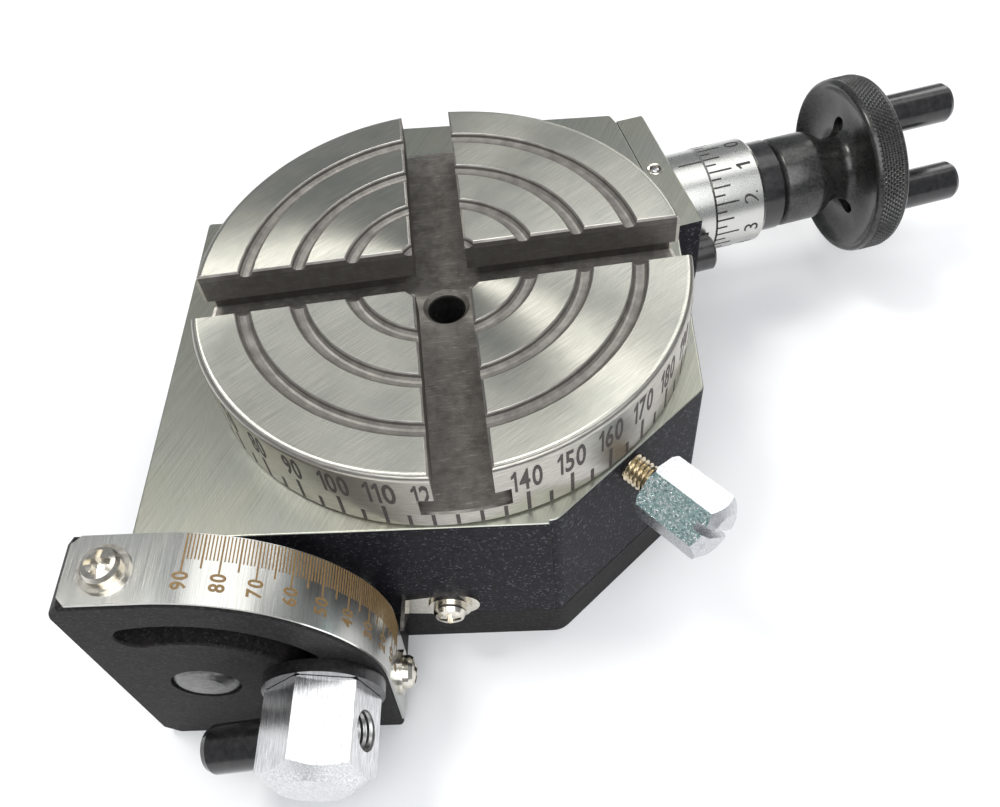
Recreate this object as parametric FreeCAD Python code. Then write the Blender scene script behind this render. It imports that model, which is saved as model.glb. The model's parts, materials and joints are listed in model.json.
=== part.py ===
import FreeCAD, Part
import os, math
from FreeCAD import Vector as V

# Tilting rotary table, 100 mm (4 inch) class.  Millimetres.
# Origin: on the floor, straight below the table's own axis.  +Z up, +X to the
# handwheel side, the quadrant ear faces -Y.

# ------------------------------------------------------------------ dimensions
# table platter
TABLE_R = 50.0
TABLE_TOP = 65.0
TABLE_BOT = 48.81
SLOT_W = 10.8            # T-slot throat
TEE_W = 16.6             # T-slot wide part
SLOT_FLOOR = 53.0
TEE_TOP = 57.8
SLOT_TURN = 5.85         # degrees the cross of slots is turned at rest
RINGS = [(6.2, 9.1), (16.8, 19.7), (27.5, 30.4), (38.2, 41.1)]
RING_DEPTH = 1.5
CENTRE_R = 4.0
# tilting body
BODY_TOP = 48.56
BODY_BOT = 11.4
POCKET_R = 28.4
POCKET_FLOOR = 28.8
FLOOR_Z = 20.0           # underside of the pocket floor, above the nut
# worm and wheel
YAW = 14.4               # worm axis, degrees from +X
CENTRE_D = 31.07         # worm axis to table axis
WORM_Z = 35.28
MODULE = 1.4
TEETH = 36
WHEEL_R = MODULE * TEETH / 2.0
WORM_R = CENTRE_D - WHEEL_R
PITCH = math.pi * MODULE
# stations along the worm axis
PLATE_S0, PLATE_S1 = 54.8, 61.7
SLEEVE_S1 = 69.15
DIAL_S0, DIAL_S1 = 69.30, 82.30
COLLAR_S1 = 88.3
HUB_S0, HUB_S1 = 89.0, 101.0
WHEEL_S0, WHEEL_S1 = 105.4, 114.0
PIN_S1 = 137.4
DIAL_R = 12.68
SLEEVE_R = 12.5
COLLAR_R = 11.0
HUB_R = 10.8
HAND_R = 21.6
PIN_RHO, PIN_ANG, PIN_R = 9.76, 54.2, 4.85
# base and quadrant ear
BASE_H = 11.0
PIVOT_X, PIVOT_Z = -47.2, 26.5
EAR_R = 34.8
EAR_X0, EAR_X1 = -63.7, -12.4
EAR_XB = -13.3           # the right side leans in a little towards the foot
EAR_Y0, EAR_Y1 = -69.5, -56.2
SLOT_R0, SLOT_R1 = 19.15, 26.35
SLOT_A0, SLOT_A1 = -10.0, 104.0
STRIP_T = 0.5
# clamp
STUD_ANG = -1.5
STUD_RHO = 22.75
STUD_R = 3.4
NUT_AF = 18.9
NUT_TURN = -15.0
BAR_Y = -79.9
# table lock screw
LOCK_ANG = -46.36
LOCK_Z = 43.2
LOCK_FACE = 50.5
LOCK_AF = 12.5
LOCK_TURN = 42.0         # how far the knob is turned
LOCK_R = 3.0             # M6 stud

os.makedirs("parts", exist_ok=True)
Z = V(0, 0, 1)
O = V(0, 0, 0)


# --------------------------------------------------------------------- helpers
def rad(a):
    return math.radians(a)


def cyl(r, z0, z1, x=0.0, y=0.0):
    return Part.makeCylinder(r, z1 - z0, V(x, y, z0), Z)


def rod(p, d, r, a, b):
    d = V(d).normalize()
    return Part.makeCylinder(r, b - a, p + d * a, d)


def tube(p, d, ro, ri, a, b):
    return rod(p, d, ro, a, b).cut(rod(p, d, ri, a - 1, b + 1))


def ring(ro, ri, z0, z1):
    return cyl(ro, z0, z1).cut(cyl(ri, z0 - 1, z1 + 1))


def box(x0, x1, y0, y1, z0, z1):
    return Part.makeBox(x1 - x0, y1 - y0, z1 - z0, V(x0, y0, z0))


def prism(pts, z0, z1):
    vs = [V(x, y, z0) for x, y in pts]
    return Part.Face(Part.makePolygon(vs + [vs[0]])).extrude(V(0, 0, z1 - z0))


def round_poly(pts, rs):
    """Closed XY wire through pts with a tangent arc of radius rs[i] at each corner."""
    n = len(pts)
    segs = []
    for i in range(n):
        p, a, b = V(*pts[i], 0), V(*pts[i - 1], 0), V(*pts[(i + 1) % n], 0)
        u = (a - p).normalize()
        w = (b - p).normalize()
        if rs[i] <= 0:
            segs.append((p, None, p))
            continue
        half = math.acos(max(-1, min(1, u.dot(w)))) / 2
        t = rs[i] / math.tan(half)
        c = p + (u + w).normalize() * (rs[i] / math.sin(half))
        mid = c + (p - c).normalize() * rs[i]
        segs.append((p + u * t, mid, p + w * t))
    edges = []
    for i in range(n):
        s, m, e = segs[i]
        if m is not None:
            edges.append(Part.Arc(s, m, e).toShape())
        nx = segs[(i + 1) % n][0]
        if (nx - e).Length > 1e-6:
            edges.append(Part.LineSegment(e, nx).toShape())
    return Part.Wire(edges)


def round_prism(pts, rs, z0, z1):
    f = Part.Face(round_poly(pts, rs))
    f.translate(V(0, 0, z0))
    return f.extrude(V(0, 0, z1 - z0))


def revolve(pts, p, d, ref):
    """Turn a closed (station, radius) profile round the line p, d."""
    d = V(d).normalize()
    vs = [p + d * s + ref * r for s, r in pts]
    f = Part.Face(Part.makePolygon(vs + [vs[0]]))
    return f.revolve(p, d, 360)


def hexbar(p, d, af, a, b, up, turn=0.0):
    """Hexagonal bar on the line p, d; one flat faces `up` turned by `turn`."""
    d = V(d).normalize()
    side = d.cross(up).normalize()
    R = af / math.sqrt(3.0)
    vs = []
    for k in range(6):
        t = rad(30 + 60 * k + turn)
        vs.append(p + d * a + up * (R * math.cos(t)) + side * (R * math.sin(t)))
    return Part.Face(Part.makePolygon(vs + [vs[0]])).extrude(d * (b - a))


def soften(shape, test, r, mode="fillet", name=""):
    """Round or chamfer the edges picked by test; drops to a smaller size, then to a chamfer."""
    es = [e for e in shape.Edges if test(e)]
    for how in ((mode, "chamfer") if mode == "fillet" else (mode,)):
        for k in (1.0, 0.6, 0.35):
            try:
                out = shape.makeFillet(r * k, es) if how == "fillet" else shape.makeChamfer(r * k, es)
                if out.isValid() and len(out.Solids) == len(shape.Solids) and out.Volume > 0.5 * shape.Volume:
                    print("soft", name, how, r * k, len(es))
                    return out
            except Exception:
                pass
    print("soften left plain", name, len(es))
    return shape


def near(e, fn, tol=0.02):
    return all(fn(v.Point) <= tol for v in e.Vertexes) and fn(
        e.valueAt((e.FirstParameter + e.LastParameter) / 2)) <= tol


def one(shapes):
    s = shapes[0]
    for t in shapes[1:]:
        s = s.fuse(t)
    return s.removeSplitter()


def save(shape, name):
    ok = shape.isValid() and all(x.isValid() for x in shape.Solids)
    print("%-24s solids %d vol %9.1f %s" % (name, len(shape.Solids), shape.Volume, "" if ok else "INVALID"))
    shape.exportStep("parts/%s.step" % name)


# ------------------------------------------------------------- reference lines
AX = V(math.cos(rad(YAW)), math.sin(rad(YAW)), 0)
U = V(-math.sin(rad(YAW)), math.cos(rad(YAW)), 0)
WP = U * CENTRE_D + V(0, 0, WORM_Z)            # foot of the worm axis
PIV = V(PIVOT_X, 0, PIVOT_Z)
FRONT = V(0, -1, 0)
BACK = V(0, 1, 0)
STUD = PIV + V(math.cos(rad(STUD_ANG)), 0, math.sin(rad(STUD_ANG))) * STUD_RHO
LN = V(math.cos(rad(LOCK_ANG)), math.sin(rad(LOCK_ANG)), 0)
LP = V(0, 0, LOCK_Z) + V(0.7236, 0.690, 0) * 1.55


def xz_prism(wire_edges, y0, y1):
    f = Part.Face(Part.Wire(wire_edges))
    f.translate(V(0, y0, 0))
    return f.extrude(V(0, y1 - y0, 0))


def seg(a, b):
    return Part.LineSegment(a, b).toShape()


def arc(c, r, a0, a1):
    p = [c + V(math.cos(rad(a)), 0, math.sin(rad(a))) * r for a in (a0, (a0 + a1) / 2.0, a1)]
    return Part.Arc(p[0], p[1], p[2]).toShape(), p[0], p[2]


# =================================================================== fixed base
# plan outline shared by the base plate and the tilting body
XR, XL, YF, YB = 51.0, -58.0, -49.6, 65.8
outline = [(XL, YF), (20.9, YF), (XR, -21.4), (XR, 21.7), (40.57, 62.35), (38.9, YB), (-26.0, YB), (-35.0, 57.0), (XL, 57.0)]
plate_pts = [(XL, YF), (20.9, YF), (XR, -21.4), (XR, 21.7), (40.57, 62.35), (38.9, YB), (-44.0, YB), (XL, 51.0)]
base = round_prism(plate_pts, [0, 5, 4, 3, 3, 2, 5, 5], 0, BASE_H)

C = V(PIVOT_X, 0, PIVOT_Z)
a1, p0, p1 = arc(C, EAR_R, 0, 90)
top = PIVOT_Z + EAR_R
ear = xz_prism([
    seg(V(EAR_XB, 0, 0), p0), a1,
    seg(p1, V(EAR_X0 + 2.2, 0, top)),
    seg(V(EAR_X0 + 2.2, 0, top), V(EAR_X0, 0, top - 2.6)),
    seg(V(EAR_X0, 0, top - 2.6), V(EAR_X0, 0, 2.0)),
    seg(V(EAR_X0, 0, 2.0), V(EAR_X0 + 1.6, 0, 0)),
    seg(V(EAR_X0 + 1.6, 0, 0), V(EAR_XB, 0, 0))], EAR_Y0, EAR_Y1)
# foot joining ear and plate
foot = box(XL, EAR_XB, EAR_Y1 - 1, YF + 1, 0, BASE_H)
# rear pivot lug
lug_r = 10.6
a2, q0, q1 = arc(C, lug_r, 0, 180)
lug = xz_prism([seg(V(PIVOT_X + lug_r, 0, 0), q0), a2, seg(q1, V(PIVOT_X - lug_r, 0, 0)),
                seg(V(PIVOT_X - lug_r, 0, 0), V(PIVOT_X + lug_r, 0, 0))], 35.0, 46.0)
base = one([base, foot, ear, lug])
# curved clamping slot
so, s0, s1 = arc(C, SLOT_R1, SLOT_A0, SLOT_A1)
rm, hw = (SLOT_R0 + SLOT_R1) / 2, (SLOT_R1 - SLOT_R0) / 2
si, t0, t1 = arc(C, SLOT_R0, SLOT_A1, SLOT_A0)


def slot_end(a, sgn):
    c = C + V(math.cos(rad(a)), 0, math.sin(rad(a))) * rm
    tan = V(-math.sin(rad(a)), 0, math.cos(rad(a))) * sgn
    return c + tan * hw


e1 = Part.Arc(s1, slot_end(SLOT_A1, 1), t0).toShape()
e0 = Part.Arc(t1, slot_end(SLOT_A0, -1), s0).toShape()
slot = xz_prism([so, e1, si, e0], EAR_Y0 - 1, EAR_Y1 + 1)
base = base.cut(slot)
# pivot bores: counterbored in the ear, plain in the lug
base = base.cut(rod(PIV, BACK, 5.05, -80, -50.4)).cut(rod(PIV, BACK, 6.6, -80, EAR_Y0 + 3.6))
base = base.cut(rod(PIV, BACK, 5.05, 30, 50))
# strip screw holes
SCR_L = V(-54.4, -63.05, top)
SCR_R = V(EAR_X1 - (EAR_X1 - EAR_XB) * (PIVOT_Z - 12.8) / PIVOT_Z, -63.05, 12.8)
RN = V(PIVOT_Z, 0, -(EAR_X1 - EAR_XB)).normalize()       # outward normal of the leaning side
base = base.cut(rod(SCR_L, V(0, 0, -1), 1.6, -1, 9)).cut(rod(SCR_R, RN * -1, 1.6, -1, 9))
# four counterbored holes that bolt the base to a machine table
BOLT_C = (-2.0, 5.0)
BOLT_DX, BOLT_DY, BOLT_R = 60.0, 70.0, 3.3
for sx in (-1, 1):
    for sy in (-1, 1):
        bx, by = BOLT_C[0] + sx * BOLT_DX / 2, BOLT_C[1] + sy * BOLT_DY / 2
        base = base.cut(cyl(BOLT_R, -1, 20, bx, by)).cut(cyl(5.6, 4.4, 20, bx, by))
base = base.removeSplitter()


def ear_edge(e):
    on_face = near(e, lambda p: abs(p.y - EAR_Y0))
    if not on_face:
        return False
    m = e.valueAt((e.FirstParameter + e.LastParameter) / 2)
    r = math.hypot(m.x - PIVOT_X, m.z - PIVOT_Z)
    return m.z > 0.5 and (r > 27.5)


base = soften(base, ear_edge, 0.9, "fillet", "ear front")


def ear_slot_edge(e):
    if not near(e, lambda p: abs(p.y - EAR_Y0)):
        return False
    m = e.valueAt((e.FirstParameter + e.LastParameter) / 2)
    r = math.hypot(m.x - PIVOT_X, m.z - PIVOT_Z)
    return 18.5 < r < 27.0 and m.z > 12


base = soften(base, ear_slot_edge, 0.45, "fillet", "ear slot")
base = soften(base, lambda e: near(e, lambda p: abs(p.z - BASE_H)) and max(v.Point.y for v in e.Vertexes) > -49 and max(v.Point.x for v in e.Vertexes) > 20.0, 0.8, "chamfer", "plate top")
save(base, "base_casting")

# graduated strip bent over the ear
so_, b0, b1 = arc(C, EAR_R + STRIP_T, 0, 90)
si_, c0, c1 = arc(C, EAR_R, 90, 0)
ST_X, ST_Z = EAR_X0 + 2.25, 3.0
LEAN = (EAR_X1 - EAR_XB) / PIVOT_Z
SBX = EAR_X1 - LEAN * (PIVOT_Z - ST_Z)
strip = xz_prism([
    seg(V(SBX + STRIP_T, 0, ST_Z), b0), so_, seg(b1, V(ST_X, 0, top + STRIP_T)),
    seg(V(ST_X, 0, top + STRIP_T), V(ST_X, 0, top)), seg(V(ST_X, 0, top), c0), si_,
    seg(c1, V(SBX, 0, ST_Z)), seg(V(SBX, 0, ST_Z), V(SBX + STRIP_T, 0, ST_Z))],
    EAR_Y0 + 0.25, EAR_Y1 - 0.1)
strip = strip.cut(rod(SCR_L, Z, 1.9, -1, 3)).cut(rod(SCR_R, RN, 1.9, -1, 3))
# clipped corners at the flat end
for yy, k in ((EAR_Y0 + 0.25, 1), (EAR_Y1 - 0.1, -1)):
    w_ = Part.makePolygon([V(ST_X - 1, yy - k, top - 1), V(ST_X + 2.6, yy - k, top - 1), V(ST_X - 1, yy + 2.6 * k, top - 1), V(ST_X - 1, yy - k, top - 1)])
    strip = strip.cut(Part.Face(w_).extrude(V(0, 0, 3)))
save(strip, "degree_strip")


def pan_screw(p, d, r, h, shank_r, length, cross=True):
    """Pan-head screw: head from p outwards along d, shank the other way."""
    d = V(d).normalize()
    ref = V(0, 1, 0) if abs(d.y) < 0.9 else V(1, 0, 0)
    prof = [(-length, 0), (-length, shank_r), (0, shank_r), (0, r), (h * 0.42, r), (h * 0.75, r * 0.86),
            (h * 0.93, r * 0.60), (h, r * 0.28), (h, 0)]
    s = revolve(prof, p, d, ref)
    if cross:
        o = d.cross(ref)
        for a_, b_ in ((ref, o), (o, ref)):
            w_, l_ = 0.52, r * 0.66
            vs = [p + d * (h - 1.3) + a_ * (i * l_) + b_ * (j * w_) for i, j in ((-1, -1), (1, -1), (1, 1), (-1, 1))]
            s = s.cut(Part.Face(Part.makePolygon(vs + [vs[0]])).extrude(d * 3))
    return s


W_T = 0.8
strip_washers = Part.makeCompound([
    tube(SCR_L, Z, 4.5, 1.9, STRIP_T, STRIP_T + W_T), tube(SCR_R, RN, 4.5, 1.9, STRIP_T + 0.02, STRIP_T + W_T)])
save(strip_washers, "strip_washers")
strip_screws = Part.makeCompound([
    pan_screw(SCR_L + Z * (STRIP_T + W_T), Z, 3.4, 2.5, 1.6, 8),
    pan_screw(SCR_R + RN * (STRIP_T + W_T), RN, 3.4, 2.5, 1.6, 8)])
save(strip_screws, "strip_screws")

# ================================================================= tilting body
body_pts = [(XL, YF), (20.9, YF), (XR, -21.4), (XR, 21.7), (40.57, 62.35), (38.9, YB), (-26.0, YB), (-33.0, 57.0), (-33.0, 34.5), (XL, 34.5)]
body = round_prism(body_pts, [0, 3, 2, 0, 0.8, 0.8, 3, 3, 2, 0.8], BODY_BOT, BODY_TOP)
body = body.fuse(round_prism([(XL, -50.3), (19.7, -50.3), (19.7, YF + 1), (XL, YF + 1)], [0, 0.3, 0, 0], 12.6, BODY_TOP)).removeSplitter()
# lower left edge rounded about the tilt axis so that it clears the base plate
rr = PIVOT_Z - BODY_BOT
keep = box(PIVOT_X - 30, PIVOT_X, -60, 70, BODY_BOT - 1, PIVOT_Z)
corner = keep.cut(rod(PIV, BACK, rr, -70, 80))
body = body.cut(corner)
# wheel pocket, bearing bore, nut recess, thrust ring groove
body = body.cut(cyl(POCKET_R, POCKET_FLOOR, 60)).cut(cyl(12.0, 0, 40)).cut(cyl(16.0, 0, FLOOR_Z))
body = body.cut(ring(44, 32, 46.2, 60))
# worm cavity, sleeve bore, rear bush bore
body = body.cut(rod(WP, AX, 8.2, -17, 20)).cut(rod(WP, AX, 9.0, 17.5, 80)).cut(rod(WP, AX, 7.0, -30.5, -16))
# flange plate screw holes
PL_U = 15.4
PL_Z = 33.0
for k in (-1, 1):
    body = body.cut(rod(U * (CENTRE_D + k * PL_U) + V(0, 0, PL_Z), AX, 2.5, 42, 60))
# pivot pins, clamp stud, pointer screw, lock screw
body = body.cut(rod(PIV, BACK, 5.0, -60, -38)).cut(rod(PIV, BACK, 5.0, 22.5, 60))
body = body.cut(rod(V(STUD.x, 0, STUD.z), BACK, STUD_R, -60, -36))
PT = V(-1.9, -50.3, 18.0)
body = body.cut(rod(PT, BACK, 1.6, -1, 8))
body = body.cut(rod(LP, LN, LOCK_R + 0.08, 20, 60))
body = body.removeSplitter()


def body_top_edge(e):
    if not near(e, lambda p: abs(p.z - BODY_TOP)):
        return False
    m = e.valueAt((e.FirstParameter + e.LastParameter) / 2)
    return math.hypot(m.x, m.y) > 47


body = soften(body, body_top_edge, 0.4, "fillet", "body top")
save(body, "body_casting")

save(ring(44, 32, 46.2, 48.76), "thrust_ring")
save(ring(12.0, 9.05, FLOOR_Z, POCKET_FLOOR), "spindle_bush")

# pivot pins with spacers
front_pin = one([rod(PIV, BACK, 5.0, -67.3, -38.0),
                 revolve([(0, 0), (0, 6.5), (1.6, 6.5), (2.3, 5.4), (2.8, 3.6), (3.05, 0)], PIV + BACK * -67.2, FRONT, V(1, 0, 0))])
save(front_pin, "front_pivot_pin")
save(rod(PIV, BACK, 5.0, 22.5, 46.0), "rear_pivot_pin")
save(Part.makeCompound([tube(PIV, BACK, 8.5, 5.0, -56.0, -50.3), tube(PIV, BACK, 8.5, 5.0, 34.5, 34.8)]), "pivot_spacers")

# worm flange plate
HP = 20.0
ZB = 22.2


def plate_pt(uu, z, s):
    return AX * s + U * (CENTRE_D + uu) + V(0, 0, z)


rc = 9.0
pp = [plate_pt(-HP, BODY_TOP, PLATE_S0), plate_pt(-HP, ZB + rc, PLATE_S0), plate_pt(-HP + rc * (1 - math.cos(rad(45))), ZB + rc * (1 - math.sin(rad(45))), PLATE_S0),
      plate_pt(-HP + rc, ZB, PLATE_S0), plate_pt(HP - rc, ZB, PLATE_S0),
      plate_pt(HP - rc * (1 - math.cos(rad(45))), ZB + rc * (1 - math.sin(rad(45))), PLATE_S0), plate_pt(HP, ZB + rc, PLATE_S0), plate_pt(HP, BODY_TOP, PLATE_S0)]
wire = Part.Wire([seg(pp[0], pp[1]), Part.Arc(pp[1], pp[2], pp[3]).toShape(), seg(pp[3], pp[4]),
                  Part.Arc(pp[4], pp[5], pp[6]).toShape(), seg(pp[6], pp[7]), seg(pp[7], pp[0])])
plate = Part.Face(wire).extrude(AX * (PLATE_S1 - PLATE_S0))
plate = plate.cut(rod(WP, AX, 9.0, 50, 70))
for k in (-1, 1):
    plate = plate.cut(rod(U * (CENTRE_D + k * PL_U) + V(0, 0, PL_Z), AX, 2.5, 50, 70))
OIL = AX * 57.6 + U * CENTRE_D + V(0, 0, BODY_TOP)
plate = plate.cut(rod(OIL, V(0, 0, -1), 2.0, -1, 3.0)).cut(rod(OIL, V(0, 0, -1), 0.8, 0, 6))
plate = soften(plate, lambda e: near(e, lambda p: abs(p.dot(AX) - PLATE_S1)) and e.Length > 5 and not (
    e.Curve.TypeId == "Part::GeomCircle" and e.Curve.Radius < 8.99 or e.Curve.TypeId == "Part::GeomCircle" and abs(e.Curve.Center.z - WORM_Z) < 0.1), 0.4, "chamfer")
save(plate, "worm_flange")
sleeve = one([tube(WP, AX, 9.0, 7.8, 20.0, PLATE_S1 + 0.5), tube(WP, AX, SLEEVE_R, 7.8, PLATE_S1, SLEEVE_S1)])
for k in (-1, 1):
    sleeve = sleeve.cut(rod(U * (CENTRE_D + k * PL_U) + V(0, 0, PL_Z), AX, 4.45, PLATE_S1 - 1, PLATE_S1 + 5.7))
save(sleeve, "worm_sleeve")
save(Part.makeCompound([tube(WP, AX, 7.8, 6.55, 20.0, 32.0), tube(WP, AX, 7.8, 6.55, 57.0, SLEEVE_S1 - 0.2)]), "worm_bushes")
save(tube(WP, AX, 7.0, 4.45, -30.0, -18.0), "worm_rear_bush")


def cap_screw(p, d, head_r, head_h, shank_r, length, key):
    """Socket cap screw, head from p outwards along d."""
    d = V(d).normalize()
    up = V(0, 0, 1) if abs(d.z) < 0.9 else V(1, 0, 0)
    prof = [(-length, 0), (-length, shank_r), (0, shank_r), (0, head_r), (head_h - 0.5, head_r), (head_h, head_r - 0.5), (head_h, 0)]
    ref = d.cross(up).normalize()
    s = revolve(prof, p, d, ref)
    return s.cut(hexbar(p, d, key, head_h - 2.4, head_h + 1, up))


flange_screws = Part.makeCompound([
    cap_screw(U * (CENTRE_D + k * PL_U) + V(0, 0, PL_Z) + AX * PLATE_S1, AX, 4.25, 5.3, 2.5, 18, 4.0) for k in (-1, 1)])
save(flange_screws, "flange_screws")
oiler = revolve([(-3.0, 0), (-3.0, 2.0), (0.1, 2.0), (0.25, 1.8), (0.1, 1.35), (-0.8, 1.2), (-0.8, 0)], OIL, Z, AX)
save(oiler, "ball_oiler")

# pointer: flat strip on the pad, finger bent out to the ear
px0, px1 = -10.8, 0.3
t = 0.8
fw = Part.Wire([
    seg(V(px0, 0, 14.7), V(px0, 0, 20.9)), seg(V(px0, 0, 20.9), V(-5.0, 0, 21.9)), seg(V(-5.0, 0, 21.9), V(px1, 0, 21.9)),
    Part.Arc(V(px1, 0, 21.9), V(px1 + 3.9, 0, 18.0), V(px1, 0, 14.1)).toShape(),
    seg(V(px1, 0, 14.1), V(-5.0, 0, 14.1)), seg(V(-5.0, 0, 14.1), V(px0, 0, 14.7))])
ff = Part.Face(fw)
ff.translate(V(0, -50.3 - t, 0))
flatp = ff.extrude(V(0, t, 0))
tri = [V(px0 - t, -50.3, 14.7), V(px0 - t, -50.3, 20.9), V(px0 - t, -57.7, 20.9)]
finger = Part.Face(Part.makePolygon(tri + [tri[0]])).extrude(V(t, 0, 0))
finger = finger.fuse(box(px0 - t, px0, -50.3 - t, -50.3, 14.7, 20.9))
pointer = one([flatp, finger]).cut(rod(PT, FRONT, 1.9, -1, 3))
save(pointer, "pointer")
save(tube(PT, FRONT, 4.5, 1.9, t, t + W_T), "pointer_washer")
save(pan_screw(PT + FRONT * (t + W_T), FRONT, 3.4, 2.5, 1.6, 7), "pointer_screw")

# clamp stud and its spacer
SP = V(STUD.x, 0, STUD.z)
save(rod(SP, BACK, STUD_R, -75.7, -36.0), "clamp_stud")
save(tube(SP, BACK, 8.0, STUD_R, -56.0, -50.3), "clamp_spacer")

# ============================================================== clamp washer, nut
save(tube(SP, BACK, 11.6, STUD_R + 0.06, -72.0, -69.6), "clamp_washer")
NUT_Y0, NUT_Y1 = 72.1, 89.6
up = V(math.sin(rad(-NUT_TURN)), 0, math.cos(rad(-NUT_TURN)))
nut = hexbar(SP, FRONT, NUT_AF, NUT_Y0, NUT_Y1, up, 0)
Rn = NUT_AF / math.sqrt(3.0)
dome = revolve([(NUT_Y0 - 1, 0), (NUT_Y0 - 1, Rn - 0.35), (NUT_Y0, Rn - 0.35), (NUT_Y0 + 0.7, Rn + 0.5), (NUT_Y1 - 2.9, Rn + 0.5), (NUT_Y1 - 2.5, Rn - 0.55),
                (NUT_Y1, Rn - 4.2), (NUT_Y1, 0)], SP, FRONT, V(1, 0, 0))
nut = nut.common(dome)
BD = V(math.cos(rad(30 + NUT_TURN)), 0, math.sin(rad(30 + NUT_TURN)))   # threaded cross hole, right-hand mouth
NC = SP + FRONT * (-BAR_Y)
nut = nut.cut(rod(SP, FRONT, STUD_R + 0.06, 60, 76.2)).cut(rod(NC, BD, 3.7, -20, 20))
save(nut, "clamp_nut")
bar = revolve([(-1.0, 0), (-1.0, 3.2), (-0.5, 3.7), (NUT_AF / 2 - 0.1, 3.7), (NUT_AF / 2 + 0.05, 3.7), (NUT_AF / 2 + 0.05, 4.3), (NUT_AF / 2 + 0.4, 4.6), (21.4, 4.6),
               (22.6, 4.0), (23.3, 2.8), (23.5, 0)], NC, BD * -1, FRONT)
save(bar, "clamp_bar")

# ============================================================ table lock screw
save(rod(LP, LN, 2.3, 18.6, 22.0), "lock_pad")
# exposed thread: shallow rolled grooves
L0, L1 = LOCK_FACE + 6.0, LOCK_FACE + 19.6
prof = [(22.06, 0), (22.06, 2.5), (22.6, LOCK_R)]
s_ = 44.3
while s_ < L0 - 1.0:
    prof += [(s_, LOCK_R), (s_ + 0.5, LOCK_R - 0.55), (s_ + 1.0, LOCK_R)]
    s_ += 1.0
prof += [(L0 + 5.0, LOCK_R), (L0 + 5.0, 0)]
stud = revolve(prof, LP, LN, Z)
upn = V(0, 0, 1)
knob = hexbar(LP, LN, LOCK_AF, L0, L1 + 1.6, upn, LOCK_TURN)
Rk = LOCK_AF / math.sqrt(3.0)
kd = revolve([(L0, 0), (L0, Rk - 0.6), (L0 + 0.9, Rk + 0.3), (L1 - 0.4, Rk + 0.3), (L1 + 0.2, Rk - 0.55), (L1 + 1.6, Rk - 2.6), (L1 + 1.6, 0)], LP, LN, Z)
knob = knob.common(kd)
sd = LN.cross(Z)
KS = 40.0
sdir = V(0, 0, 1) * math.cos(rad(KS)) + sd * math.sin(rad(KS))
odir = LN.cross(sdir)
vs = [LP + LN * (L1 - 1.6) + sdir * (i * 12) + odir * (j * 0.8) for i, j in ((-1, -1), (1, -1), (1, 1), (-1, 1))]
knob = knob.cut(Part.Face(Part.makePolygon(vs + [vs[0]])).extrude(LN * 8)).cut(rod(LP, LN, LOCK_R, L0 - 1, L0 + 5.0))
save(stud, "lock_stud")
save(knob, "lock_knob")

# ============================================================== rotating table
disc = cyl(TABLE_R, TABLE_BOT, TABLE_TOP)
disc = disc.makeFillet(1.5, [e for e in disc.Edges if near(e, lambda p: abs(p.z - TABLE_TOP)) and e.Length > 200])
disc = disc.makeChamfer(0.4, [e for e in disc.Edges if near(e, lambda p: abs(p.z - TABLE_BOT)) and e.Length > 200])
cuts = []
for r0, r1 in RINGS:
    m, h = (r0 + r1) / 2, (r1 - r0) / 2
    rg = revolve([(TABLE_TOP + 1, r0 - 0.3), (TABLE_TOP + 0.001, r0 - 0.25), (TABLE_TOP - 0.3, r0 + 0.05), (TABLE_TOP - 0.9, r0 + 0.2), (TABLE_TOP - RING_DEPTH * 0.9, r0 + 0.62),
                  (TABLE_TOP - RING_DEPTH, m - 0.35), (TABLE_TOP - RING_DEPTH, m + 0.35), (TABLE_TOP - RING_DEPTH * 0.9, r1 - 0.62),
                  (TABLE_TOP - 0.9, r1 - 0.2), (TABLE_TOP - 0.3, r1 - 0.05), (TABLE_TOP + 0.001, r1 + 0.25), (TABLE_TOP + 1, r1 + 0.3)], O, Z, V(1, 0, 0))
    cuts.append(rg)
for k in (0, 90):
    b = box(-60, 60, -SLOT_W / 2, SLOT_W / 2, SLOT_FLOOR, 70).fuse(box(-60, 60, -TEE_W / 2, TEE_W / 2, SLOT_FLOOR, TEE_TOP))
    c_ = 0.45
    ch = Part.Face(Part.makePolygon([V(-60, -SLOT_W / 2 - c_, TABLE_TOP), V(-60, SLOT_W / 2 + c_, TABLE_TOP), V(-60, SLOT_W / 2 + c_, TABLE_TOP + 1), V(-60, -SLOT_W / 2 - c_, TABLE_TOP + 1), V(-60, -SLOT_W / 2 - c_, TABLE_TOP)])).extrude(V(120, 0, 0))
    ch2 = Part.Face(Part.makePolygon([V(-60, -SLOT_W / 2, TABLE_TOP - c_), V(-60, SLOT_W / 2, TABLE_TOP - c_), V(-60, SLOT_W / 2 + c_, TABLE_TOP), V(-60, -SLOT_W / 2 - c_, TABLE_TOP), V(-60, -SLOT_W / 2, TABLE_TOP - c_)])).extrude(V(120, 0, 0))
    b = b.fuse(ch).fuse(ch2)
    b.rotate(O, Z, k + SLOT_TURN)
    cuts.append(b)
for c in cuts:
    disc = disc.cut(c)
disc = disc.cut(cyl(CENTRE_R, 40, 60)).cut(cyl(7.0, 40, 51.5))
cs = Part.makeCone(CENTRE_R, CENTRE_R + 0.9, 0.9, V(0, 0, SLOT_FLOOR - 0.9), Z)
disc = disc.cut(cs)
WS = [V(14 * math.cos(rad(45 + SLOT_TURN + 90 * k)), 14 * math.sin(rad(45 + SLOT_TURN + 90 * k)), 0) for k in range(4)]
for p in WS:
    disc = disc.cut(cyl(2.0, 40, 52.3, p.x, p.y))
save(disc.removeSplitter(), "table_platter")

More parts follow.
